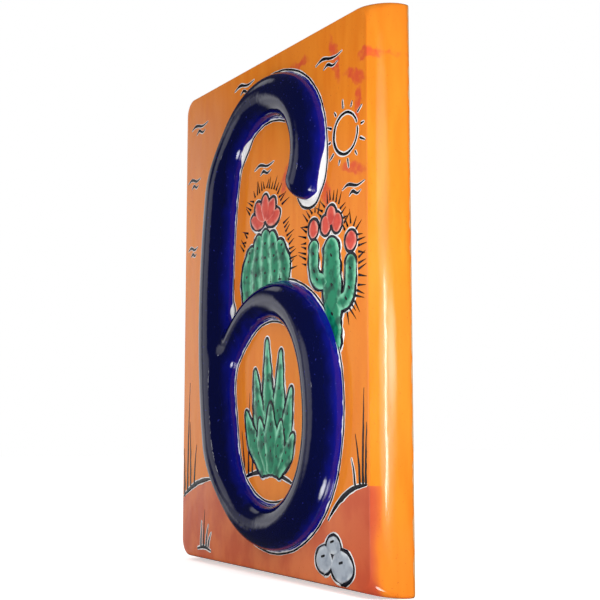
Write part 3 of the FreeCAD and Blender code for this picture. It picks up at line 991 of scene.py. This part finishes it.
# %% Places of the orange glaze
# middle X and Z, half length, half height, tilt
SMEARS = ((26.5, 99.0, 1.3, 5.2, -18), (33.0, 94.2, 3.9, 1.2, 24), (34.0, 88.6, 1.1, 3.6, 8),
          (19.8, 90.6, 1.2, 3.0, 12), (32.4, 77.0, 4.2, 1.3, 18), (23.4, 73.4, 1.4, 5.6, -10),
          (12.6, 101.4, 4.4, 1.1, -12), (8.0, 79.0, 1.2, 3.2, 10), (36.0, 97.6, 2.2, 0.9, -10))
# the orange is paler and pinker in the upper left corner
PALE_PATCHES = ((-28.0, 96.0, 20.0, 16.0, 0),)
# the sand: under the crests of two dunes, and along the foot between them
HILLS = [(*dune[:4], 0) for dune in DUNES[:2]] + [(14.0, -9.0, 40.0, 21.0, 0), (21.5, 0.0, 5.0, 15.0, 0)]
# full part and end of each, as shares of an oval's size
SMEAR_FADE, PALE_FADE, HILL_FADE = (0.55, 1.35), (0.1, 1.5), (0.985, 1.0)
PALE_STRENGTH = 0.38
# how far the edges of smears and pale patches wander
RAGGED = 3.2
# the sand fades out a little way round the right edge, where X + 0.8 Y + noise passes these values
SAND_ROUND, SAND_ENDS = 0.8, (32.8, 35.4)

# %% Orange glaze: where each colour lies
orange, tree, mm = glaze("orange_glaze")
axes = add(tree, "ShaderNodeSeparateXYZ", {0: mm}).outputs
streak = grain(tree, mm, 2.2, 4.0, (1, 1, 6))
ragged = add(tree, "ShaderNodeTexNoise", {"Vector": mm, "Scale": 0.45, "Detail": 3.0}).outputs["Color"]
ragged = add(tree, "ShaderNodeVectorMath", {0: ragged, 1: (0.5, 0.5, 0.5)}, operation="SUBTRACT")
wavy = add(tree, "ShaderNodeVectorMath", {0: ragged, 1: (RAGGED, 0, RAGGED), 2: mm},
           operation="MULTIPLY_ADD")
patches = add(tree, "ShaderNodeMapRange", {"Value": grain(tree, mm, 1.1), "From Min": 0.3,
              "From Max": 0.6, "To Min": 0.5, "To Max": 0.85})
smears = add(tree, "ShaderNodeMath", {0: spots(tree, wavy, SMEARS, *SMEAR_FADE), 1: patches},
             operation="MULTIPLY")
round_edge = add(tree, "ShaderNodeMath", {0: axes["Y"], 1: SAND_ROUND, 2: axes["X"]},
                 operation="MULTIPLY_ADD")
uneven = add(tree, "ShaderNodeMath", {0: grain(tree, mm, 4.0, 2.0, (1, 1, 4)), 1: 5.0, 2: round_edge},
             operation="MULTIPLY_ADD")
ending = add(tree, "ShaderNodeMapRange", {"Value": uneven, "From Min": SAND_ENDS[0],
             "From Max": SAND_ENDS[1], "To Min": 1.0, "To Max": 0.0})
sand = add(tree, "ShaderNodeMath", {0: spots(tree, mm, HILLS, *HILL_FADE), 1: ending},
           operation="MULTIPLY")
wiped = add(tree, "ShaderNodeMath", {0: grain(tree, mm, 2.5, 3.0), 1: 0.9, 2: axes["Y"]},
            operation="MULTIPLY_ADD")
pale_corner = add(tree, "ShaderNodeMath", {0: spots(tree, wavy, PALE_PATCHES, *PALE_FADE), 1: PALE_STRENGTH},
           operation="MULTIPLY")

# %% Orange glaze: coats, gloss and ripple
red = coats(tree, "#DF7A4A", [(grain(tree, mm, 5.0, 3.0, (1, 1, 1.6)), 0.35, 0.68, 0.0, 1.0, "#CE623E"),
                              (axes["X"], 20.0, 37.0, 0.0, 0.6, "#C24A30")])
broad = grain(tree, mm, 16.0, 2.0, (1, 1, 1), (3, 0, 0))
body = coats(tree, "#EA7E1E", [(streak, 0.2, 0.8, 0.0, 1.0, "#F28E26"),
                               (broad, 0.35, 0.7, 0.0, 0.5, "#EE882C"),
                               (pale_corner, 0.0, 1.0, 0.0, 1.0, "#D99A80"),
                               (smears, 0.0, 1.0, 0.0, 1.0, "#DF5634"),
                               (sand, 0.0, 1.0, 0.0, 1.0, red),
                               (grain(tree, mm, 0.45, 1.0), 0.66, 0.78, 0.0, 0.35, "#B4531F"),
                               (wiped, 0.12, 0.3, 0.0, 1.0, "#D8AE80")])
gloss = add(tree, "ShaderNodeMapRange", {"Value": streak, "From Min": 0.3, "From Max": 0.7,
            "To Min": 0.06, "To Max": 0.11})
swell = add(tree, "ShaderNodeMath", {0: grain(tree, mm, 9.0, 1.0, (1, 1, 2)), 1: 3.0,
            2: grain(tree, mm, 1.6, 1.0, (1, 1, 3))}, operation="MULTIPLY_ADD")
surface(tree, body, gloss, swell, 0.012)

# %% [markdown]
# ### Bare clay
# The back stood on the kiln shelf, so it is bare: a dry, buff to pinkish earthenware with grog in it
# and hardly any shine.

# %% Fired clay
clay, tree, mm = glaze("fired_clay")
tone = coats(tree, "#CB9A75", [(grain(tree, mm, 11.0, 3.0), 0.3, 0.7, 0.0, 1.0, "#B98462"),
                               (grain(tree, mm, 0.7, 2.0), 0.6, 0.72, 0.0, 0.6, "#8E5F45"),
                               (grain(tree, mm, 0.9, 2.0, (1, 1, 1), (40, 0, 0)), 0.62, 0.74, 0.0, 0.7,
                                "#E4C6A4")])
rough = add(tree, "ShaderNodeMath", {0: grain(tree, mm, 0.5, 4.0), 1: 0.6, 2: grain(tree, mm, 4.0, 2.0)},
            operation="MULTIPLY_ADD")
surface(tree, tone, 0.85, rough, 0.12)

# %% [markdown]
# ### Cobalt
# Cobalt glaze is nearly black where it lies thick on the crest and a clear strong blue where it
# thins towards the foot. That change with height is also partly painted shade and light: the crest
# is painted darker and the lower flanks bluer, as the side light would leave them. At the very foot
# it stopped short of the outline and left the white slip bare, broadly so in a few places.

# %% Cobalt glaze
# full part and end of the broad white places, and how much lower the blue ends there
BARE_FADE, BARE_DROP = (0.4, 1.2), -0.75
cobalt, tree, mm = glaze("cobalt_glaze")
depth = add(tree, "ShaderNodeSeparateXYZ", {0: mm}).outputs["Y"]
above = add(tree, "ShaderNodeMath", {0: depth, 1: -1.0, 2: -THICK}, operation="MULTIPLY_ADD")
# partly painted shade: the blue darkens with height above the face, for the glaze's depth and for the
# shade on the crest
depth_and_shade = add(tree, "ShaderNodeMath", {0: grain(tree, mm, 1.8, 3.0, (1, 1, 2.5)), 1: 2.0, 2: above},
           operation="MULTIPLY_ADD")
bare = add(tree, "ShaderNodeMath", {0: spots(tree, mm, BARE, *BARE_FADE), 1: BARE_DROP, 2: above},
           operation="MULTIPLY_ADD")
foot = add(tree, "ShaderNodeMath", {0: grain(tree, mm, 2.4, 3.0), 1: -0.6, 2: bare},
           operation="MULTIPLY_ADD")
blue = coats(tree, "#0C128A", [(depth_and_shade, 1.0, 4.3, 0.0, 1.0, "#030734"),
                               (grain(tree, mm, 0.6, 2.0), 0.68, 0.76, 0.0, 0.5, "#3A3FA8"),
                               (foot, -0.32, -0.2, 1.0, 0.0, "#F4F5F8")])
swell = add(tree, "ShaderNodeMath", {0: grain(tree, mm, 5.0, 1.0), 1: 3.0, 2: grain(tree, mm, 1.3, 1.0)},
            operation="MULTIPLY_ADD")
surface(tree, blue, 0.06, swell, 0.02)

# %% [markdown]
# ### Enamels and lines
# Each colour was dropped inside its dark line and drew together like a bead, so it is paler along
# its rim and deeper in its middle. How far a point lies from the rim follows from the attributes that
# the brush kept: the half width of the stroke and the place across it.

# %% Paints
# rim, heart and mottle colours, width of the rim in millimetres, roughness
PAINTS = {"white": ("#F6F5F2", "#ECEBEA", "#FFFFFF", 0.3, 0.12),
          "slate": ("#07090F", "#14172A", "#05060C", 0.6, 0.14),
          "green": ("#8ADDB6", "#148660", "#06483A", 1.1, 0.07),
          "coral": ("#F3A493", "#DB5040", "#C43A32", 0.7, 0.08),
          "grey": ("#D3DADF", "#AEB8C3", "#8E98A6", 0.9, 0.1)}
paints = {}
for paint, (rim, heart, mottle, band, rough) in PAINTS.items():
    finish, tree, mm = glaze(paint + ("_slip" if paint in ("white", "slate") else "_enamel"))
    across = add(tree, "ShaderNodeAttribute", attribute_name="across").outputs["Fac"]
    half = add(tree, "ShaderNodeAttribute", attribute_name="half_width").outputs["Fac"]
    out = add(tree, "ShaderNodeMath", {0: across}, operation="ABSOLUTE")
    left = add(tree, "ShaderNodeMath", {0: 1.0, 1: out}, operation="SUBTRACT")
    deep = add(tree, "ShaderNodeMath", {0: left, 1: half}, operation="MULTIPLY")
    uneven = add(tree, "ShaderNodeMath", {0: grain(tree, mm, 1.6, 2.0), 1: band * 0.8, 2: deep},
                 operation="MULTIPLY_ADD")
    patchy = grain(tree, mm, 2.2, 5.0, (1, 1, 1), (9, 0, 0))
    tone = coats(tree, rim, [(uneven, band * 0.35, band * 1.6, 0.0, 1.0, heart),
                             (patchy, 0.44, 0.66, 0.0, 0.85, mottle)])
    surface(tree, tone, rough, grain(tree, mm, 1.5, 1.0), 0.012)
    paints[paint] = finish

# %% [markdown]
# ## Laying it all on
# Every paint becomes one piece, because its strokes share a finish. Each piece rides on the one body
# of the tile.

# %% Paint pieces
def guide(name, lines):
    """Mesh of edges for the trees, in millimetres, with the half width, lift and dome of each point."""
    points, edges, kept = [], [], {"half_width": [], "lift": [], "dome": []}
    for flat, half, lift, dome, closed in lines:
        first, many = len(points), len(flat)
        points += [(x, z, 0) for x, z in flat]
        edges += [(first + i, first + i + 1) for i in range(many - 1)]
        edges += [(first + many - 1, first)] * closed
        kept["half_width"] += list(half)
        kept["lift"] += [lift] * many
        kept["dome"] += [dome] * many
    made = mesh_object(name, np.array(points) / MM, [], edges)
    for label, values in kept.items():
        held = made.data.attributes.new(label, "FLOAT", "POINT")
        held.data.foreach_set("value", np.array(values, np.float32))
    return made


pieces = [tile, numeral]
for number, (paint, strokes) in enumerate(layers.items()):
    made = guide(paints[paint].name, strokes)
    grow(made, brush, paints[paint], Waver=0.14, Wander=0.07, Waver_Size=2.4, Depth=0.05,
         Seed=float(3 + number))
    pieces.append(made)
lines = [even_steps(np.array(line, float) - (0, HEIGHT / 2), PATH_STEP, False) for line in COMBS]
spines = guide("cactus_spines", [(line, (), 0, 0, False) for line in lines])
grow(spines, comb, paints["slate"], Pace=1.0, Shortest=1.7, Longest=3.1, Tilt=0.45, Thickness=0.28,
     Lift=0.03, Seed=5)
pieces.append(spines)

# %% Finishes of the tile and the numeral
tile.data.materials.append(orange)
tile.data.materials.append(clay)
for face in tile.data.polygons:
    face.material_index = int(face.normal.y > 0.99)
    face.use_smooth = face.material_index == 0
numeral.data.materials.append(cobalt)
print(sum(face.material_index for face in tile.data.polygons), "bare face of clay")

# %% Every piece on the one body
for made in pieces:
    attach(made, "root")
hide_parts("number_tile")
print([made.name for made in pieces])
